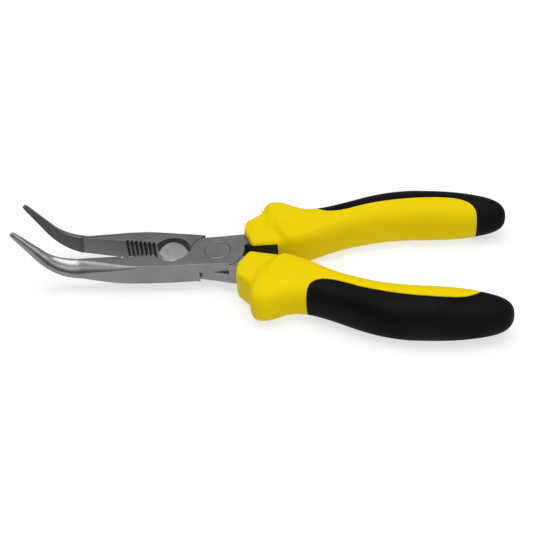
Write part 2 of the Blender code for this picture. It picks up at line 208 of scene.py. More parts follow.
# edge of the soft grip seen from above: x, distance from the middle line
GRIP_EDGE = (
    (38.8, 28.2), (39.2, 25.8), (40.3, 23.6), (42.2, 22.2), (44.6, 21.6), (47.5, 21.8),
    (50.5, 22.5), (55.0, 24.2), (60.0, 26.1), (65.0, 27.6), (70.0, 28.8), (75.0, 29.7),
    (80.0, 30.4), (85.0, 30.8), (90.0, 31.0), (95.0, 30.9), (99.0, 30.2), (102.0, 28.8),
    (104.2, 26.7), (105.4, 24.0), (105.8, 20.5),
)
# tang: x, inner edge, outer edge
TANG_NECK = ((9.5, 3.9, 10.2), (13.0, 3.3, 11.4), (17.0, 3.4, 13.0), (21.0, 3.6, 15.0),
             (25.5, 4.6, 17.0))
TANG_ROD = ((23.5, 5.0, 15.6), (30.0, 8.4, 18.6), (38.0, 12.4, 21.6), (46.0, 16.4, 24.4),
            (54.0, 20.0, 27.6), (62.0, 23.0, 30.4), (70.0, 25.2, 32.2), (80.0, 27.0, 33.2),
            (90.0, 27.8, 33.0), (96.0, 28.4, 32.2))


# ---- mesh helpers ------------------------------------------------------------------------
def smooth_rows(rows, step):
    """Rows set along a smooth curve that passes through the given ones without overshoot."""
    values = np.array(rows, dtype=float)
    gaps = np.linalg.norm(np.diff(values[:, :4], axis=0), axis=1)
    slopes = np.diff(values, axis=0) / gaps[:, None]
    tangents = np.zeros_like(values)
    tangents[0], tangents[-1] = slopes[0], slopes[-1]
    for i in range(1, len(values) - 1):
        before, after = slopes[i - 1], slopes[i]
        same = before * after > 0
        safe = np.where(same, before + after, 1.0)
        tangents[i] = np.where(same, 2 * before * after / safe, 0.0)
    out = []
    for i, gap in enumerate(gaps):
        count = max(1, round(gap / step))
        for k in range(count):
            t = k / count
            a, b = values[i], values[i + 1]
            blend = t * t * (3 - 2 * t)
            lead = t * (1 - t) ** 2 * gap
            trail = -t * t * (1 - t) * gap
            out.append(a + (b - a) * blend + tangents[i] * lead + tangents[i + 1] * trail)
    out.append(values[-1])
    return np.array(out)


def relax(rows, free_from, passes):
    """Evens out small waves in rows beyond free_from, leaving both ends in place."""
    ease = np.clip((rows[:, 0] - free_from) / EVEN_EASE, 0.0, 1.0)[1:-1, None]
    keep = np.clip((rows[-1, 0] - rows[:, 0]) / EVEN_EASE, 0.0, 1.0)[1:-1, None]
    for _ in range(passes):
        middle = (rows[:-2] + 2 * rows[1:-1] + rows[2:]) / 4
        rows[1:-1] += (middle - rows[1:-1]) * ease * keep
    return rows


def mesh_object(name, verts, faces):
    """Object in metres from corners in millimetres, its faces turned outwards."""
    mesh = bpy.data.meshes.new(name)
    mesh.from_pydata([Vector(v) * MM for v in verts], [], faces)
    bm = bmesh.new()
    bm.from_mesh(mesh)
    bmesh.ops.recalc_face_normals(bm, faces=bm.faces)
    bm.to_mesh(mesh)
    bm.free()
    ob = bpy.data.objects.new(name, mesh)
    bpy.context.scene.collection.objects.link(ob)
    return ob


def loft(name, sections, closed=False):
    """Closed body through sections that have the same number of corners."""
    count = len(sections[0])
    verts = [p for sec in sections for p in sec]
    faces = []
    spans = len(sections) if closed else len(sections) - 1
    for i in range(spans):
        n = (i + 1) % len(sections)
        for j in range(count):
            k = (j + 1) % count
            faces.append((i * count + j, i * count + k, n * count + k, n * count + j))
    if not closed:
        faces.append(tuple(range(count)))
        last = (len(sections) - 1) * count
        faces.append(tuple(last + j for j in range(count)))
    return mesh_object(name, verts, faces)


def prism(name, outline, z0, z1):
    """Flat outline drawn up from z0 to z1."""
    return loft(name, [[(x, y, z) for x, y in outline] for z in (z0, z1)])


def inset(outline, by):
    """Outline moved inwards, whichever way round its corners run."""
    area = sum(a[0] * b[1] - b[0] * a[1] for a, b in zip(outline, outline[1:] + outline[:1]))
    sign = 1.0 if area > 0 else -1.0
    out = []
    for i, p in enumerate(outline):
        here = Vector(p)
        into = (here - Vector(outline[i - 1])).normalized()
        away = (Vector(outline[(i + 1) % len(outline)]) - here).normalized()
        n0, n1 = Vector((-into.y, into.x)), Vector((-away.y, away.x))
        normal = (n0 + n1).normalized()
        reach = by / max(0.5, normal.dot(n0))
        out.append(tuple(here + normal * reach * sign))
    return out


def soft_prism(name, outline, z0, z1, lip):
    """Flat outline drawn up from z0 to z1 with a small chamfer at both ends."""
    small = inset(outline, lip)
    rows = ((small, z0), (outline, z0 + lip), (outline, z1 - lip), (small, z1))
    return loft(name, [[(x, y, z) for x, y in ring] for ring, z in rows])


def ring_of(radius, z, steps, x=0.0, y=0.0):
    """Level circle of corners."""
    return [(x + radius * math.cos(2 * math.pi * i / steps),
             y + radius * math.sin(2 * math.pi * i / steps), z) for i in range(steps)]


def turned(name, profile, steps, x=0.0, y=0.0):
    """Round body from (radius, z) rows."""
    return loft(name, [ring_of(r, z, steps, x, y) for r, z in profile])


def finish_slot(name):
    """Stand-in material that keeps a finish's slot through the booleans."""
    return bpy.data.materials.get(name) or bpy.data.materials.new(name)


def tag(ob, index):
    """Gives every face of ob one of the lever's finishes, by its place in LEVER_FINISHES."""
    ob.data.materials.clear()
    for name in LEVER_FINISHES:
        ob.data.materials.append(finish_slot(name))
    for poly in ob.data.polygons:
        poly.material_index = index
    return ob


def combine(target, tool, how, keep=False):
    """Exact boolean of target with tool, which is then deleted unless it is kept."""
    mod = target.modifiers.new(how.lower(), "BOOLEAN")
    mod.operation = how
    mod.solver = "EXACT"
    mod.object = tool
    with bpy.context.temp_override(object=target, active_object=target,
                                   selected_objects=[target]):
        bpy.ops.object.modifier_apply(modifier=mod.name)
    if not keep:
        bpy.data.objects.remove(tool, do_unlink=True)


def turn(ob, degrees):
    """Turns the mesh about the pivot axis."""
    ob.data.transform(Matrix.Rotation(math.radians(degrees), 4, "Z"))


def arc(radius, start_deg, end_deg, steps):
    """Points along a circular arc about the pivot axis."""
    out = []
    for i in range(steps + 1):
        t = math.radians(start_deg + (end_deg - start_deg) * i / steps)
        out.append((radius * math.cos(t), radius * math.sin(t)))
    return out


def strip(rows, side, grow=0.0, lead=0.0):
    """Outline of a band given by its inner and outer edge.

    It is grown by grow sideways and at its far end, and by lead at its near end.
    """
    inner = [[x, a - grow] for x, a, b in rows]
    outer = [[x, b + grow] for x, a, b in rows]
    for edge in (inner, outer):
        edge[0][0] -= lead
        edge[-1][0] += grow
    return [(x, side * y) for x, y in inner + outer[::-1]]


def shade(ob, crease_deg):
    """Joins doubled corners and leaves edges sharper than crease_deg unsmoothed."""
    bm = bmesh.new()
    bm.from_mesh(ob.data)
    bmesh.ops.remove_doubles(bm, verts=bm.verts, dist=2e-6)
    bmesh.ops.dissolve_degenerate(bm, edges=bm.edges, dist=1e-6)
    bmesh.ops.recalc_face_normals(bm, faces=bm.faces)
    limit = math.radians(crease_deg)
    for face in bm.faces:
        face.smooth = True
    for edge in bm.edges:
        if len(edge.link_faces) == 2:
            edge.smooth = edge.calc_face_angle() < limit
    bm.to_mesh(ob.data)
    bm.free()


# ---- steel levers ------------------------------------------------------------------------
def jaw_rows():
    """Jaw and nose sections from the pivot to the tip, with the columns of JAW."""
    rows = list(JAW)
    lift = JAW[-1][4]
    for dist, width, top, low in NOSE:
        thick = top + low
        front = (width * NOSE_FRONT[0], thick * NOSE_FRONT[1])
        back = (width * NOSE_BACK[0], thick * NOSE_BACK[1])
        rows.append((NOSE_STRAIGHT + dist, width, top, low, lift, *front, *back))
    return np.array(rows)


def cut_back(dist, tip):
    """How far the grip face is cut back, for its relief and its fine teeth."""
    start, end, depth = RELIEF
    if start < dist < end:
        return depth
    if dist < TEETH_FROM or dist > tip - TEETH_TO_TIP:
        return 0.0
    phase = ((dist - TEETH_FROM) / TEETH_PITCH) % 1.0
    return TEETH_DEPTH * (1.0 - abs(2.0 * phase - 1.0))


def jaw_section(x, z, tilt, row, grip, side, steps=9):
    """One slice of the jaw: flat on the grip side, bevelled in front, rounded at the back."""
    width, top, low, _, fa, fu, ba, bu = row
    burr = min(LIP, 0.12 * top)
    flat = [(grip, -low + burr), (grip + burr, -low)]
    for i in range(steps + 1):
        t = math.pi / 2 * i / steps
        flat.append((width - ba + ba * math.sin(t), -low + bu - bu * math.cos(t)))
    for i in range(steps + 1):
        t = math.pi / 2 * i / steps
        across, up = math.cos(t) ** BEVEL, math.sin(t) ** BEVEL
        flat.append((width - fa + fa * across, top - fu + fu * up))
    flat += [(grip + burr, top), (grip, top - burr)]
    c, s = math.cos(tilt), math.sin(tilt)
    return [(x + n * s, side * y, z + n * c) for y, n in flat]


def jaw_stations(start, tip):
    """Where the jaw is sliced: closely at both ends of the relief and over the teeth."""
    relief_start, relief_end, _ = RELIEF
    tooth = TEETH_PITCH / 4
    out = list(np.arange(start, relief_start - 0.3, JAW_STEP))
    out += [relief_start - 0.02, relief_start + 0.12]
    out += list(np.arange(relief_start + 0.7, relief_end - 0.3, JAW_STEP))
    out += [relief_end - 0.05, relief_end + 0.02]
    out += list(np.arange(TEETH_FROM + tooth, tip - 0.05, tooth))
    return out + [tip]


def jaw(name, side):
    """Jaw and bent nose in the closed position, drawn along the middle line of JAW and NOSE."""
    table = jaw_rows()
    dense = smooth_rows(table, 0.5)
    start, tip = table[0][0], table[-1][0]
    bend_len = math.radians(NOSE_BEND_DEG) * NOSE_BEND_R
    rows = []
    for dist in jaw_stations(start, tip):
        row = [np.interp(dist, dense[:, 0], dense[:, k]) for k in range(1, 9)]
        past = max(0.0, dist - NOSE_STRAIGHT)
        angle = min(past, bend_len) / NOSE_BEND_R
        extra = max(0.0, past - bend_len)
        x = -min(dist, NOSE_STRAIGHT) - NOSE_BEND_R * math.sin(angle)
        x -= extra * math.cos(angle)
        z = MID + row[3] + NOSE_BEND_R * (1 - math.cos(angle)) + extra * math.sin(angle)
        rows.append(jaw_section(x, z, angle, row, GRIP_CLEAR + cut_back(dist, tip), side))
    return loft(name, rows)


def lap_outline(side):
    """Plan of the lap half with its round boss, in the closed position."""
    pts = [(-9.5, 8.2), (-8.0, 8.66), (0.7, 8.72), (4.0, 9.0)]
    pts += arc(BOSS_R, 57.0, -11.0, 40)
    pts += [(13.0, -3.4), (13.0, -8.4), (11.0, -9.36), (6.9, -9.2), (0.7, -8.7)]
    pts += arc(BOSS_R, 229.5, 180.6, 30)
    pts += [(-11.0, 0.6), (-11.0, 4.0)]
    return [(x, side * y) for x, y in pts]


def flared(name, radius, z0, z1, opens, steps=HEAD_STEPS, x=0.0, y=0.0):
    """Round cutter from z0 to z1. Where it opens (low, high) on a face, it chamfers the edge."""
    reach = radius + (LIP + FLARE)
    low = [(reach, z0 - FLARE), (radius, z0 + LIP)] if opens[0] else [(radius, z0)]
    high = [(radius, z1 - LIP), (reach, z1 + FLARE)] if opens[1] else [(radius, z1)]
    return turned(name, low + high, steps, x, y)


def eye_cutter(side):
    """Round opening between the jaws; a sloped, slightly hollow flank narrows its back."""
    cut = flared("eye", EYE_R, 0.0, JOINT_T, (True, True), x=EYE_X, y=-side * EYE_SET)
    slope = (EYE_R - EYE_SET - FLANK_FOOT) / FLANK_TOP
    rows = [(FLANK_SET + FLANK_FOOT + slope * z, z) for z in FLANK_SPAN]
    flank = turned("flank", rows, FLANK_STEPS, EYE_X + FLANK_SHIFT, -side * FLANK_SET)
    # the opening's wall takes the groove finish, darker steel painted as shade in the recess
    combine(tag(cut, RECESS_SHADE), tag(flank, FLANK), "INTERSECT")
    return cut


def groove_cutter(x, side):
    """Cross groove with a round bottom and slightly broken mouth edges."""
    half = GROOVE_W / 2
    straight = GROOVE_D - half
    shape = [(x - half - out, depth) for out, depth in GROOVE_MOUTH]
    steps = 8
    for i in range(steps + 1):
        t = math.pi * i / steps
        shape.append((x - half * math.cos(t), straight + half * math.sin(t)))
    shape += [(x + half + out, depth) for out, depth in GROOVE_MOUTH[::-1]]
    # the groove takes the darker groove finish, painted shade in the recess
    return tag(prism("groove", [(px, side * py) for px, py in shape], *THROUGH_STEEL), RECESS_SHADE)


def through(name, radius, steps):
    """Plain round cutter about the pivot axis, right through the joint."""
    return turned(name, [(radius, z) for z in THROUGH_STEEL], steps)


def clear_for_boss(body, keep_front):
    """Clears the half of the joint that the other lever's boss fills."""
    if keep_front:
        seat = flared("seat", SEAT_R, BACK, MID + LAP_GAP / 2, (True, False), SEAT_STEPS)
    else:
        seat = flared("seat", SEAT_R, MID - LAP_GAP / 2, JOINT_T, (False, True), SEAT_STEPS)
    combine(body, seat, "DIFFERENCE")


def clear_for_rivet(body, keep_front):
    """Hole for the rivet's shank, and a pocket for the head on this lever's own face."""
    head = RIVET_HEAD_R + RIVET_CLEAR
    depth = RIVET_HEAD_T + RIVET_CLEAR
    combine(body, through("hole", RIVET_SHANK_R + RIVET_CLEAR, SHANK_STEPS), "DIFFERENCE")
    if keep_front:
        pocket = flared("pocket", head, JOINT_T - depth, JOINT_T, (False, True))
    else:
        pocket = flared("pocket", head, BACK, BACK + depth, (True, False))
    combine(body, pocket, "DIFFERENCE")


def mark_grip_face(body, side):
    """Gives the flat inner face of the jaw its own finish, and the toothed nose another."""
    for poly in body.data.polygons:
        at = poly.center / MM
        inward = poly.normal.y * side < -0.7
        if at.x < GROOVE_FIRST + 1 and abs(at.y) < GRIP_FACE_BAND and inward:
            poly.material_index = TEETH if at.x < -TEETH_FROM else GRIP_FACE


def lever(name, side, keep_front):
    """side is where the jaw lies (+1 is +Y); the handle leaves on the other side."""
    body = tag(jaw(name, side), GROUND)
    lap = tag(soft_prism("lap", lap_outline(side), BACK, JOINT_T, LIP), GROUND)
    combine(body, lap, "UNION")
    clear_for_boss(body, keep_front)
    combine(body, eye_cutter(side), "DIFFERENCE")
    for i in range(GROOVE_COUNT):
        combine(body, groove_cutter(GROOVE_FIRST - i * GROOVE_PITCH, side), "DIFFERENCE")
    clear_for_rivet(body, keep_front)
    mark_grip_face(body, side)
    turn(body, -side * OPEN_DEG / 2)

    # neck and tang, set out in the modelled pose
    neck = tag(soft_prism("neck", strip(TANG_NECK, -side), BACK, JOINT_T, LIP), GROUND)
    combine(neck, through("ring", SEAT_R, SEAT_STEPS), "DIFFERENCE")
    combine(body, neck, "UNION")
    rod = prism("rod", strip(TANG_ROD, -side), MID - TANG_T / 2, MID + TANG_T / 2)
    combine(body, tag(rod, GROUND), "UNION")
    shade(body, CREASE_STEEL)
    return body


def blacken_and_shade(ob, side):
    """The tang keeps its dark forge scale; the neck's inner faces between the collars get the
    same black as painted shade.
    """
    for poly in ob.data.polygons:
        at = poly.center / MM
        inward = poly.normal.y * side > 0.6
        in_collar = at.x > SCALE_FROM
        # faces in the deep gap between the collars get the black as painted shade
        shaded_gap = at.x > SHADE_GAP[0] and abs(at.y) < SHADE_GAP[1] and inward
        if in_collar or shaded_gap:
            poly.material_index = SCALE_AND_SHADE


def rivet(name):
    """Headed pin, flush on both faces, with a fine rounded rim."""
    profile = []
    for z, way in ((BACK, 1), (JOINT_T, -1)):
        head = [(RIVET_HEAD_R + across, down) for across, down in RIVET_RIM]
        head += [(RIVET_HEAD_R, RIVET_HEAD_T), (RIVET_SHANK_R, RIVET_HEAD_T)]
        part = [(r, z + way * down) for r, down in head]
        profile += part if way > 0 else part[::-1]
    ob = turned(name, profile, HEAD_STEPS)
    shade(ob, CREASE_RIVET)
    return ob


# ---- handles -----------------------------------------------------------------------------
def hood(x, y):
    """0 on the flat collar, 1 on the finger guard: the guard's front runs across at a slant."""
    front = np.interp(y, HOOD_ACROSS, HOOD_FRONT)
    t = min(1.0, max(0.0, (x - front) / HOOD_RAMP))
    return t * t * (3 - 2 * t)


def handle_form(name, rows, shrink, corners):
    """Rounded-square handle body, optionally shrunk all round."""
    sections = []
    for x, near, far, half, outer_square, inner_square in rows:
        near, far, half = near + shrink, far - shrink, half - shrink
        mid, wide = (near + far) / 2, (far - near) / 2
        ring = []
        for i in range(corners):
            t = 2 * math.pi * (i + 0.5) / corners
            c, s = math.cos(t), math.sin(t)
            power = 2.0 / (outer_square if c > 0 else inner_square)
            y = mid + wide * math.copysign(abs(c) ** power, c)
            high = half
            if half > COLLAR_HALF and x < HOOD_END:
                high = COLLAR_HALF + (half - COLLAR_HALF) * hood(x, y)
            ring.append((x, y, MID + high * math.copysign(abs(s) ** power, s)))
        sections.append(ring)
    return loft(name, sections)


def grip_zone(name, grow):
    """Region taken by the soft grip, drawn right through the handle."""
    near, far, end = PAST_HANDLE
    rows = [(x, y, 0.0, 0.0) for x, y in GRIP_EDGE]
    edge = [Vector(row[:2]) for row in smooth_rows(rows, HANDLE_STEP)]
    edge = [Vector((GRIP_EDGE[0][0], far))] + edge + [Vector((GRIP_EDGE[-1][0], near))]
    out = []
    for i, p in enumerate(edge):
        a, b = edge[max(i - 1, 0)], edge[min(i + 1, len(edge) - 1)]
        along = (b - a).normalized()
        out.append((p.x + along.y * grow, p.y - along.x * grow))
    out += [(end, near), (end, far)]
    return prism(name, out, *THROUGH_HANDLE)


def seam_loop(ob):
    """The closed edge where the grip's outer skin meets its cut wall, in order."""
    bm = bmesh.new()
    bm.from_mesh(ob.data)
    links = {}
    for edge in bm.edges:
        if len({face.material_index for face in edge.link_faces}) == 2:
            a, b = edge.verts
            links.setdefault(a.index, []).append(b.index)
            links.setdefault(b.index, []).append(a.index)
    places = [v.co.copy() / MM for v in bm.verts]
    bm.free()
    order = [min(links)]
    here = links[order[0]][0]
    while here != order[0]:
        last = order[-1]
        order.append(here)
        here = next(n for n in links[here] if n != last)
    return [places[i] for i in order]


def seam_tool(points):
    """Thin round bead along a closed loop of points."""
    loop = [points[0]]
    for p in points[1:]:
        if (p - loop[-1]).length > SEAM_STEP:
            loop.append(p)
    count = len(loop)
    rows = []
    for i, p in enumerate(loop):
        along = (loop[(i + 1) % count] - loop[i - 1]).normalized()
        steep = abs(along.z) >= 0.85
        up = Vector((0, 1, 0)) if steep else Vector((0, 0, 1))
        side = along.cross(up).normalized()
        rise = side.cross(along)
        rows.append((p, side, rise))
    sections = []
    previous = None
    for p, side, rise in rows:
        if previous is not None and side.dot(previous) < 0:
            side, rise = -side, -rise
        previous = side
        ring = []
        for k in range(SEAM_SIDES):
            t = 2 * math.pi * k / SEAM_SIDES
            ring.append(tuple(p + (side * math.cos(t) + rise * math.sin(t)) * SEAM_R))
        sections.append(ring)
    return loft("bead", sections, closed=True)


def open_for_steel(sleeve):
    """Pocket for the steel, and the window on the inner side that shows it."""
    fit = POCKET_FIT
    neck = prism("neck pocket", strip(TANG_NECK, 1, fit, NECK_LEAD), BACK - fit, JOINT_T + fit)
    combine(sleeve, neck, "DIFFERENCE")
    half = TANG_T / 2 + fit
    rod = prism("rod pocket", strip(TANG_ROD, 1, fit), MID - half, MID + half)
    combine(sleeve, rod, "DIFFERENCE")
    window = prism("window", WINDOW, BACK - fit - 0.3, JOINT_T + fit + 0.3)
    combine(sleeve, window, "DIFFERENCE")


def handle_pieces():
    """Sleeve and soft grip of the +Y handle."""
    rows = relax(smooth_rows(HANDLE, HANDLE_STEP), EVEN_FROM, EVEN_PASSES)
    coarse = rows[::CORE_EVERY]
    inner = coarse[(coarse[:, 0] > CORE_SPAN[0]) & (coarse[:, 0] < CORE_SPAN[1])]

    # the two tags only let seam_loop tell the outer skin from the cut wall
    grip = tag(handle_form("grip", rows, 0.0, HANDLE_CORNERS), 0)
    combine(grip, tag(grip_zone("zone", 0.0), 1), "INTERSECT")
    loop = seam_loop(grip)
    combine(grip, handle_form("core", inner, SKIN, CORE_CORNERS), "DIFFERENCE")

    sleeve = handle_form("sleeve", rows, 0.0, HANDLE_CORNERS)
    zone = grip_zone("seat", GRIP_FIT)
    core = handle_form("inner core", inner, SKIN + GRIP_FIT, CORE_CORNERS)
    combine(zone, core, "DIFFERENCE")
    combine(sleeve, zone, "DIFFERENCE")
    bead = seam_tool(loop)
    combine(grip, bead, "DIFFERENCE", keep=True)
    combine(sleeve, bead, "DIFFERENCE")
    open_for_steel(sleeve)
    shade(sleeve, CREASE_PLASTIC)
    shade(grip, CREASE_PLASTIC)
    return sleeve, grip


def mirrored(ob, name):
    """Copy on the other side of the middle plane."""
    mesh = ob.data.copy()
    mesh.transform(Matrix.Scale(-1, 4, (0, 1, 0)))
    mesh.flip_normals()
    twin = bpy.data.objects.new(name, mesh)
    bpy.context.scene.collection.objects.link(twin)
    return twin


# ---- materials ---------------------------------------------------------------------------
MIX_FACTOR, MIX_A, MIX_B, MIX_COLOUR = 0, 6, 7, 2     # colour sockets of the Mix node
POLISH_FROM, POLISH_TO = -0.056, -0.038     # x in metres: fully polished nose, joint finish


class Finish:
    """A material being wired up: short calls that add a node and return its output."""

    def __init__(self, name):
        self.mat = bpy.data.materials.new(name)
        self.mat.use_nodes = True
        self.tree = self.mat.node_tree
        self.bsdf = self.tree.nodes["Principled BSDF"]
        self.place = self.add("ShaderNodeTexCoord").outputs["Object"]

    def add(self, kind, **sockets):
        """New node; its sockets are given by name, with _ for a space."""
        node = self.tree.nodes.new(kind)
        for key, value in sockets.items():
            self.put(node.inputs[key.replace("_", " ")], value)
        return node

    def put(self, socket, value):
        """Links value to the socket, or sets it there if it is a constant."""
        if isinstance(value, bpy.types.NodeSocket):
            self.tree.links.new(value, socket)
        else:
            socket.default_value = value

    def set(self, **sockets):
        """The same for sockets of the surface shader itself."""
        for key, value in sockets.items():
            self.put(self.bsdf.inputs[key.replace("_", " ")], value)

    def stretched(self, x, y, z, turn_deg=0.0):
        """Object coordinates scaled per axis, and turned about Z."""
        node = self.add("ShaderNodeMapping", Vector=self.place, Scale=(x, y, z))
        node.inputs["Rotation"].default_value = (0, 0, math.radians(turn_deg))
        return node.outputs["Vector"]

    def noise(self, per_m, detail=3.0, rough=0.55, where=None):
        """Noise with about per_m blobs to each unit of where, by default the metre."""
        node = self.add("ShaderNodeTexNoise", Vector=where or self.place, Scale=per_m,
                        Detail=detail, Roughness=rough)
        return node.outputs["Fac"]

    def between(self, fac, low, high, from_low=0.3, from_high=0.7):
        """Maps from_low to low and from_high to high, and stops there."""
        node = self.add("ShaderNodeMapRange", Value=fac)
        node.inputs["From Min"].default_value = from_low
        node.inputs["From Max"].default_value = from_high
        node.inputs["To Min"].default_value = low
        node.inputs["To Max"].default_value = high
        return node.outputs["Result"]

    def mix(self, fac, a, b):
        """Blend of two colours, each a linked socket or three numbers."""
        node = self.tree.nodes.new("ShaderNodeMix")
        node.data_type = "RGBA"
        self.put(node.inputs[MIX_FACTOR], fac)
        for index, colour in ((MIX_A, a), (MIX_B, b)):
            linked = isinstance(colour, bpy.types.NodeSocket)
            self.put(node.inputs[index], colour if linked else (*colour, 1.0))
        return node.outputs[MIX_COLOUR]

    def maths(self, how, a, b):
        """Sum, product or difference of two values."""
        node = self.tree.nodes.new("ShaderNodeMath")
        node.operation = how
        self.put(node.inputs[0], a)
        self.put(node.inputs[1], b)
        return node.outputs[0]

    def bump(self, height, depth_mm, under=None):
        """Surface relief, laid over the relief given as under."""
        node = self.add("ShaderNodeBump", Height=height, Distance=depth_mm * MM, Strength=1.0)
        if under is not None:
            self.put(node.inputs["Normal"], under)
        return node.outputs["Normal"]


def steel(name, dark, light, rough, polished=0.0):
    """Fine-ground tool steel: short scratches along the tool and a satin grain.

    polished is how much smoother the nose is than the joint.
    """
    fin = Finish(name)
    split = fin.add("ShaderNodeSeparateXYZ", Vector=fin.place)
    nose = fin.between(split.outputs["X"], polished, 0.0, POLISH_FROM, POLISH_TO)
    streaks = fin.noise(1.0, 4.0, 0.6, fin.stretched(420, 5200, 5200))
    cross = fin.noise(1.0, 3.0, 0.6, fin.stretched(3800, 600, 3800, 12))
    grain = fin.noise(6500, 2.0, 0.6)
    cloud = fin.noise(95, 3.0, 0.5)
    tone = fin.maths("ADD", fin.maths("MULTIPLY", streaks, 0.35),
                     fin.maths("MULTIPLY", grain, 0.3))
    tone = fin.maths("ADD", tone, fin.maths("MULTIPLY", cloud, 0.35))
    fin.set(Base_Color=fin.mix(fin.between(tone, 0.0, 1.0, 0.36, 0.64), dark, light))
    fin.set(Metallic=1.0)
    patchy = fin.between(fin.maths("ADD", cross, cloud), rough - 0.05, rough + 0.07, 0.7, 1.3)
    fin.set(Roughness=fin.maths("SUBTRACT", patchy, nose))
    fine = fin.bump(grain, 0.006)
    fine = fin.bump(streaks, 0.009, under=fine)
    fin.set(Normal=fine)
    return fin.mat


def flank_highlight_steel(name):
    """Sloped flank inside the round opening: steel made pale as a painted highlight for the
    bright light it reflects.
    """
    fin = Finish(name)
    grain = fin.noise(2600, 3.0, 0.65)
    cloud = fin.noise(300, 3.0, 0.5)
    fin.set(Base_Color=fin.mix(fin.between(cloud, 0, 1), (0.44, 0.44, 0.44),
                               (0.56, 0.56, 0.555)))
    fin.set(Metallic=0.6)
    fin.set(Roughness=fin.between(grain, 0.5, 0.7))
    fin.set(Normal=fin.bump(grain, 0.05))
    return fin.mat


def scale_black_and_gap_shade(name):
    """Blackened, lightly oiled steel left by forging, also used as painted shade on the faces in
    the deep gap between the collars.
    """
    fin = Finish(name)
    patches = fin.noise(420, 4.0, 0.6)
    fin.set(Base_Color=fin.mix(fin.between(patches, 0, 1), (0.006, 0.006, 0.007),
                               (0.016, 0.016, 0.018)))
    fin.set(Metallic=0.35)
    fin.set(Roughness=fin.between(patches, 0.5, 0.7))
    fin.set(Normal=fin.bump(patches, 0.04))
    return fin.mat


def yellow_plastic(name):
    """Moulded satin plastic: very fine grain, faint flow marks, darker specks."""
    fin = Finish(name)
    flow = fin.noise(34, 3.0, 0.5, fin.stretched(0.5, 1.0, 1.0))
    grain = fin.noise(2600, 2.0, 0.5)
    colour = fin.mix(fin.between(flow, 0, 1), (0.64, 0.485, 0.0), (0.68, 0.52, 0.0005))
    specks = fin.between(fin.noise(900, 2.0, 0.6), 0.0, 0.35, 0.62, 0.78)
    fin.set(Base_Color=fin.mix(specks, colour, (0.59, 0.44, 0.0)))
    fin.set(Roughness=fin.between(flow, 0.42, 0.54))
    fin.set(Specular_IOR_Level=0.045)
    fin.set(Normal=fin.bump(grain, 0.02, under=fin.bump(flow, 0.12)))
    return fin.mat


def soft_rubber(name):
    """Matt soft-touch grip: close pebble grain, faint rubbed patches."""
    fin = Finish(name)
    pebble = fin.add("ShaderNodeTexVoronoi", Vector=fin.place, Scale=1900.0)
    pebble.feature = "SMOOTH_F1"
    grain = fin.noise(3200, 2.0, 0.55)
    rubbed = fin.noise(60, 4.0, 0.55)
    fin.set(Base_Color=fin.mix(fin.between(rubbed, 0, 1, 0.4, 0.75), (0.0022, 0.0022, 0.0023),
                               (0.0045, 0.0045, 0.0048)))
    fin.set(Roughness=fin.between(rubbed, 0.66, 0.52))
    fin.set(Specular_IOR_Level=0.06)
    rough = fin.bump(pebble.outputs["Distance"], 0.03)
    fin.set(Normal=fin.bump(grain, 0.02, under=rough))
    return fin.mat


def floor_material():
    """White floor with a painted falloff of light: it darkens a little a long way from the tool.
    """
    fin = Finish("floor_white")
    tone = fin.noise(3.0, 2.0, 0.5)
    away = fin.add("ShaderNodeVectorMath", Vector=fin.place)
    away.operation = "LENGTH"
    # painted falloff of light: the floor's colour darkens away from the tool
    painted_falloff = fin.between(away.outputs["Value"], 0.0, 1.0, 0.36, 0.9)
    near = fin.mix(tone, (0.31, 0.31, 0.31), (0.33, 0.33, 0.33))
    fin.set(Base_Color=fin.mix(painted_falloff, near, (0.20, 0.20, 0.20)))
    fin.set(Roughness=0.9)
    fin.set(Specular_IOR_Level=0.1)
    fin.set(Emission_Color=(1, 1, 1, 1))
    fin.set(Emission_Strength=0.64)
    return fin.mat


# ---- studio ------------------------------------------------------------------------------
FLOOR_R = 3.0              # metres

# sky brightness from the horizon and below (0) to straight up (1); its dimming towards -X
SKY = ((0.0, 0.05), (0.12, 0.07), (0.35, 0.28), (0.6, 1.0), (0.8, 0.6), (1.0, 0.42))
SKY_DIM = (("From Min", -0.25), ("From Max", -0.16), ("To Min", 0.66), ("To Max", 1.0))

# soft boxes: name, place and aim (m), width and depth (m), watts
LIGHTS = (
    ("key", (-0.18, -0.62, 0.70), (0.0, 0.0, 0.0), 0.8, 0.26, 0.95),
    ("top", (0.0, 0.0, 1.1), (0.0, 0.0, 0.0), 1.0, 0.7, 9.2),
    ("right", (0.58, -0.56, 0.36), (-0.05, 0.0, 0.01), 0.40, 0.55, 1.1),
)


def floor_plate():
    """Large round floor just under the lowest point of the handles."""
    low = min(box[0][2] for box in (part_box("front_lever_grip"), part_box("back_lever_grip")))
    bm = bmesh.new()
    bmesh.ops.create_circle(bm, cap_ends=True, segments=96, radius=FLOOR_R)
    mesh = bpy.data.meshes.new("floor")
    bm.to_mesh(mesh)
    bm.free()
    floor = bpy.data.objects.new("floor", mesh)
    floor.location.z = low - FLOOR_GAP * MM
    floor.data.materials.append(floor_material())
    bpy.context.scene.collection.objects.link(floor)


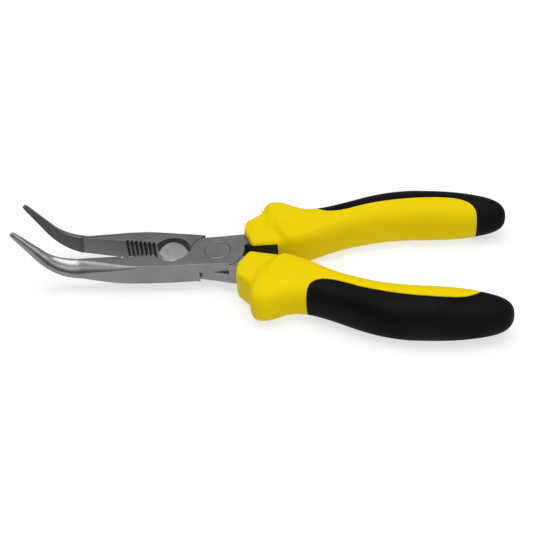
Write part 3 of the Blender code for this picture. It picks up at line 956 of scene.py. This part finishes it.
def sky():
    """World light: dark at the horizon, brightest partway up, dimmer towards -X."""
    world = bpy.data.worlds.new("studio")
    world.use_nodes = True
    tree = world.node_tree
    background = tree.nodes["Background"]
    where = tree.nodes.new("ShaderNodeTexCoord")
    split = tree.nodes.new("ShaderNodeSeparateXYZ")
    ramp = tree.nodes.new("ShaderNodeValToRGB")
    tree.links.new(where.outputs["Generated"], split.inputs[0])
    tree.links.new(split.outputs["Z"], ramp.inputs["Fac"])
    tree.links.new(ramp.outputs["Color"], background.inputs["Color"])
    stops = ramp.color_ramp.elements
    stops.remove(stops[1])
    for i, (at, level) in enumerate(SKY):
        stop = stops[0] if i == 0 else stops.new(at)
        stop.position = at
        stop.color = (level, level, level, 1.0)
    dim = tree.nodes.new("ShaderNodeMapRange")
    for socket, value in SKY_DIM:
        dim.inputs[socket].default_value = value
    tree.links.new(split.outputs["X"], dim.inputs["Value"])
    tree.links.new(dim.outputs["Result"], background.inputs["Strength"])
    bpy.context.scene.world = world


def soft_box(name, at, to, width, depth, watts):
    """Rectangular lamp at one place, aimed at another."""
    light = bpy.data.lights.new(name, "AREA")
    light.shape = "RECTANGLE"
    light.size = width
    light.size_y = depth
    light.energy = watts
    ob = bpy.data.objects.new(name, light)
    ob.location = at
    ob.rotation_euler = (Vector(to) - Vector(at)).to_track_quat("-Z", "Y").to_euler()
    bpy.context.scene.collection.objects.link(ob)


def studio():
    """Pale floor, sky and soft boxes."""
    floor_plate()
    sky()
    for row in LIGHTS:
        soft_box(*row)


# ---- camera ------------------------------------------------------------------------------
CAMERA_AT = (77.27, -330.58, 282.92)     # mm
CAMERA_YAW = 9.88          # degrees
CAMERA_DOWN = 40.09
CAMERA_ROLL = -5.36
LENS = 71.74               # mm, on a 36 mm sensor


def camera():
    """The photo's own point of view."""
    data = bpy.data.cameras.new("camera")
    data.lens = LENS
    data.sensor_width = 36.0
    data.clip_start = 0.01
    data.clip_end = 20.0
    ob = bpy.data.objects.new("camera", data)
    aim = (Matrix.Rotation(math.radians(CAMERA_YAW), 4, "Z")
           @ Matrix.Rotation(math.radians(90.0 - CAMERA_DOWN), 4, "X")
           @ Matrix.Rotation(math.radians(CAMERA_ROLL), 4, "Z"))
    ob.matrix_world = Matrix.Translation(Vector(CAMERA_AT) * MM) @ aim
    bpy.context.scene.collection.objects.link(ob)
    bpy.context.scene.camera = ob
    bpy.context.scene.view_settings.view_transform = "Standard"


# ---- assembly ----------------------------------------------------------------------------
def dress(ob, mat):
    """One material over the whole piece."""
    ob.data.materials.clear()
    ob.data.materials.append(mat)


def place(ob, body, node):
    """Ties the piece to its body and hides the CAD node it stands for."""
    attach(ob, body)
    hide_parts(node)


def lever_materials():
    """The materials of LEVER_FINISHES, in that order."""
    return (steel("ground_steel", (0.175, 0.175, 0.178), (0.27, 0.27, 0.273), 0.36, 0.11),
            # darker steel of the grooves and the opening's wall: painted shade in these recesses
            steel("recess_shade_steel", (0.055, 0.055, 0.056), (0.10, 0.10, 0.10), 0.5),
            steel("grip_face_steel", (0.125, 0.125, 0.126), (0.185, 0.185, 0.187), 0.42),
            # pale steel of the flank: a painted highlight
            flank_highlight_steel("eye_flank_painted_highlight"),
            # black of the forge scale on the tang, also painted shade in the gap between the
            # collars
            scale_black_and_gap_shade("forge_black_and_painted_shade"),
            steel("teeth_steel", (0.072, 0.072, 0.073), (0.12, 0.12, 0.121), 0.46))


def build_steel():
    """Both levers and the rivet."""
    finishes = lever_materials()
    for name, side, keep_front, body, node in (
            ("back_lever_forging", 1, False, "back_lever", "back_lap_lever"),
            ("front_lever_forging", -1, True, "front_lever", "front_lap_lever")):
        piece = lever(name, side, keep_front)
        blacken_and_shade(piece, side)
        for i, mat in enumerate(finishes):
            piece.data.materials[i] = mat
        place(piece, body, node)

    pin = rivet("joint_rivet")
    dress(pin, steel("rivet_ground", (0.18, 0.18, 0.183), (0.26, 0.26, 0.263), 0.34))
    place(pin, "front_lever", "pivot_rivet")


def build_handles():
    """The far handle's two pieces, and their mirror images on the near handle."""
    yellow = yellow_plastic("moulded_yellow")
    rubber = soft_rubber("soft_black")
    sleeve, grip = handle_pieces()
    sleeve.name, grip.name = "front_sleeve_shell", "front_soft_grip"
    near_sleeve = mirrored(sleeve, "back_sleeve_shell")
    near_grip = mirrored(grip, "back_soft_grip")
    for ob, mat, body, node, slot in (
            (sleeve, yellow, "front_lever", "front_lever_sleeve", "yellow_plastic"),
            (grip, rubber, "front_lever", "front_lever_grip", "black_soft_grip"),
            (near_sleeve, yellow, "back_lever", "back_lever_sleeve", "yellow_plastic"),
            (near_grip, rubber, "back_lever", "back_lever_grip", "black_soft_grip")):
        dress(ob, mat)
        place(ob, body, node)


camera()
studio()
build_steel()
build_handles()
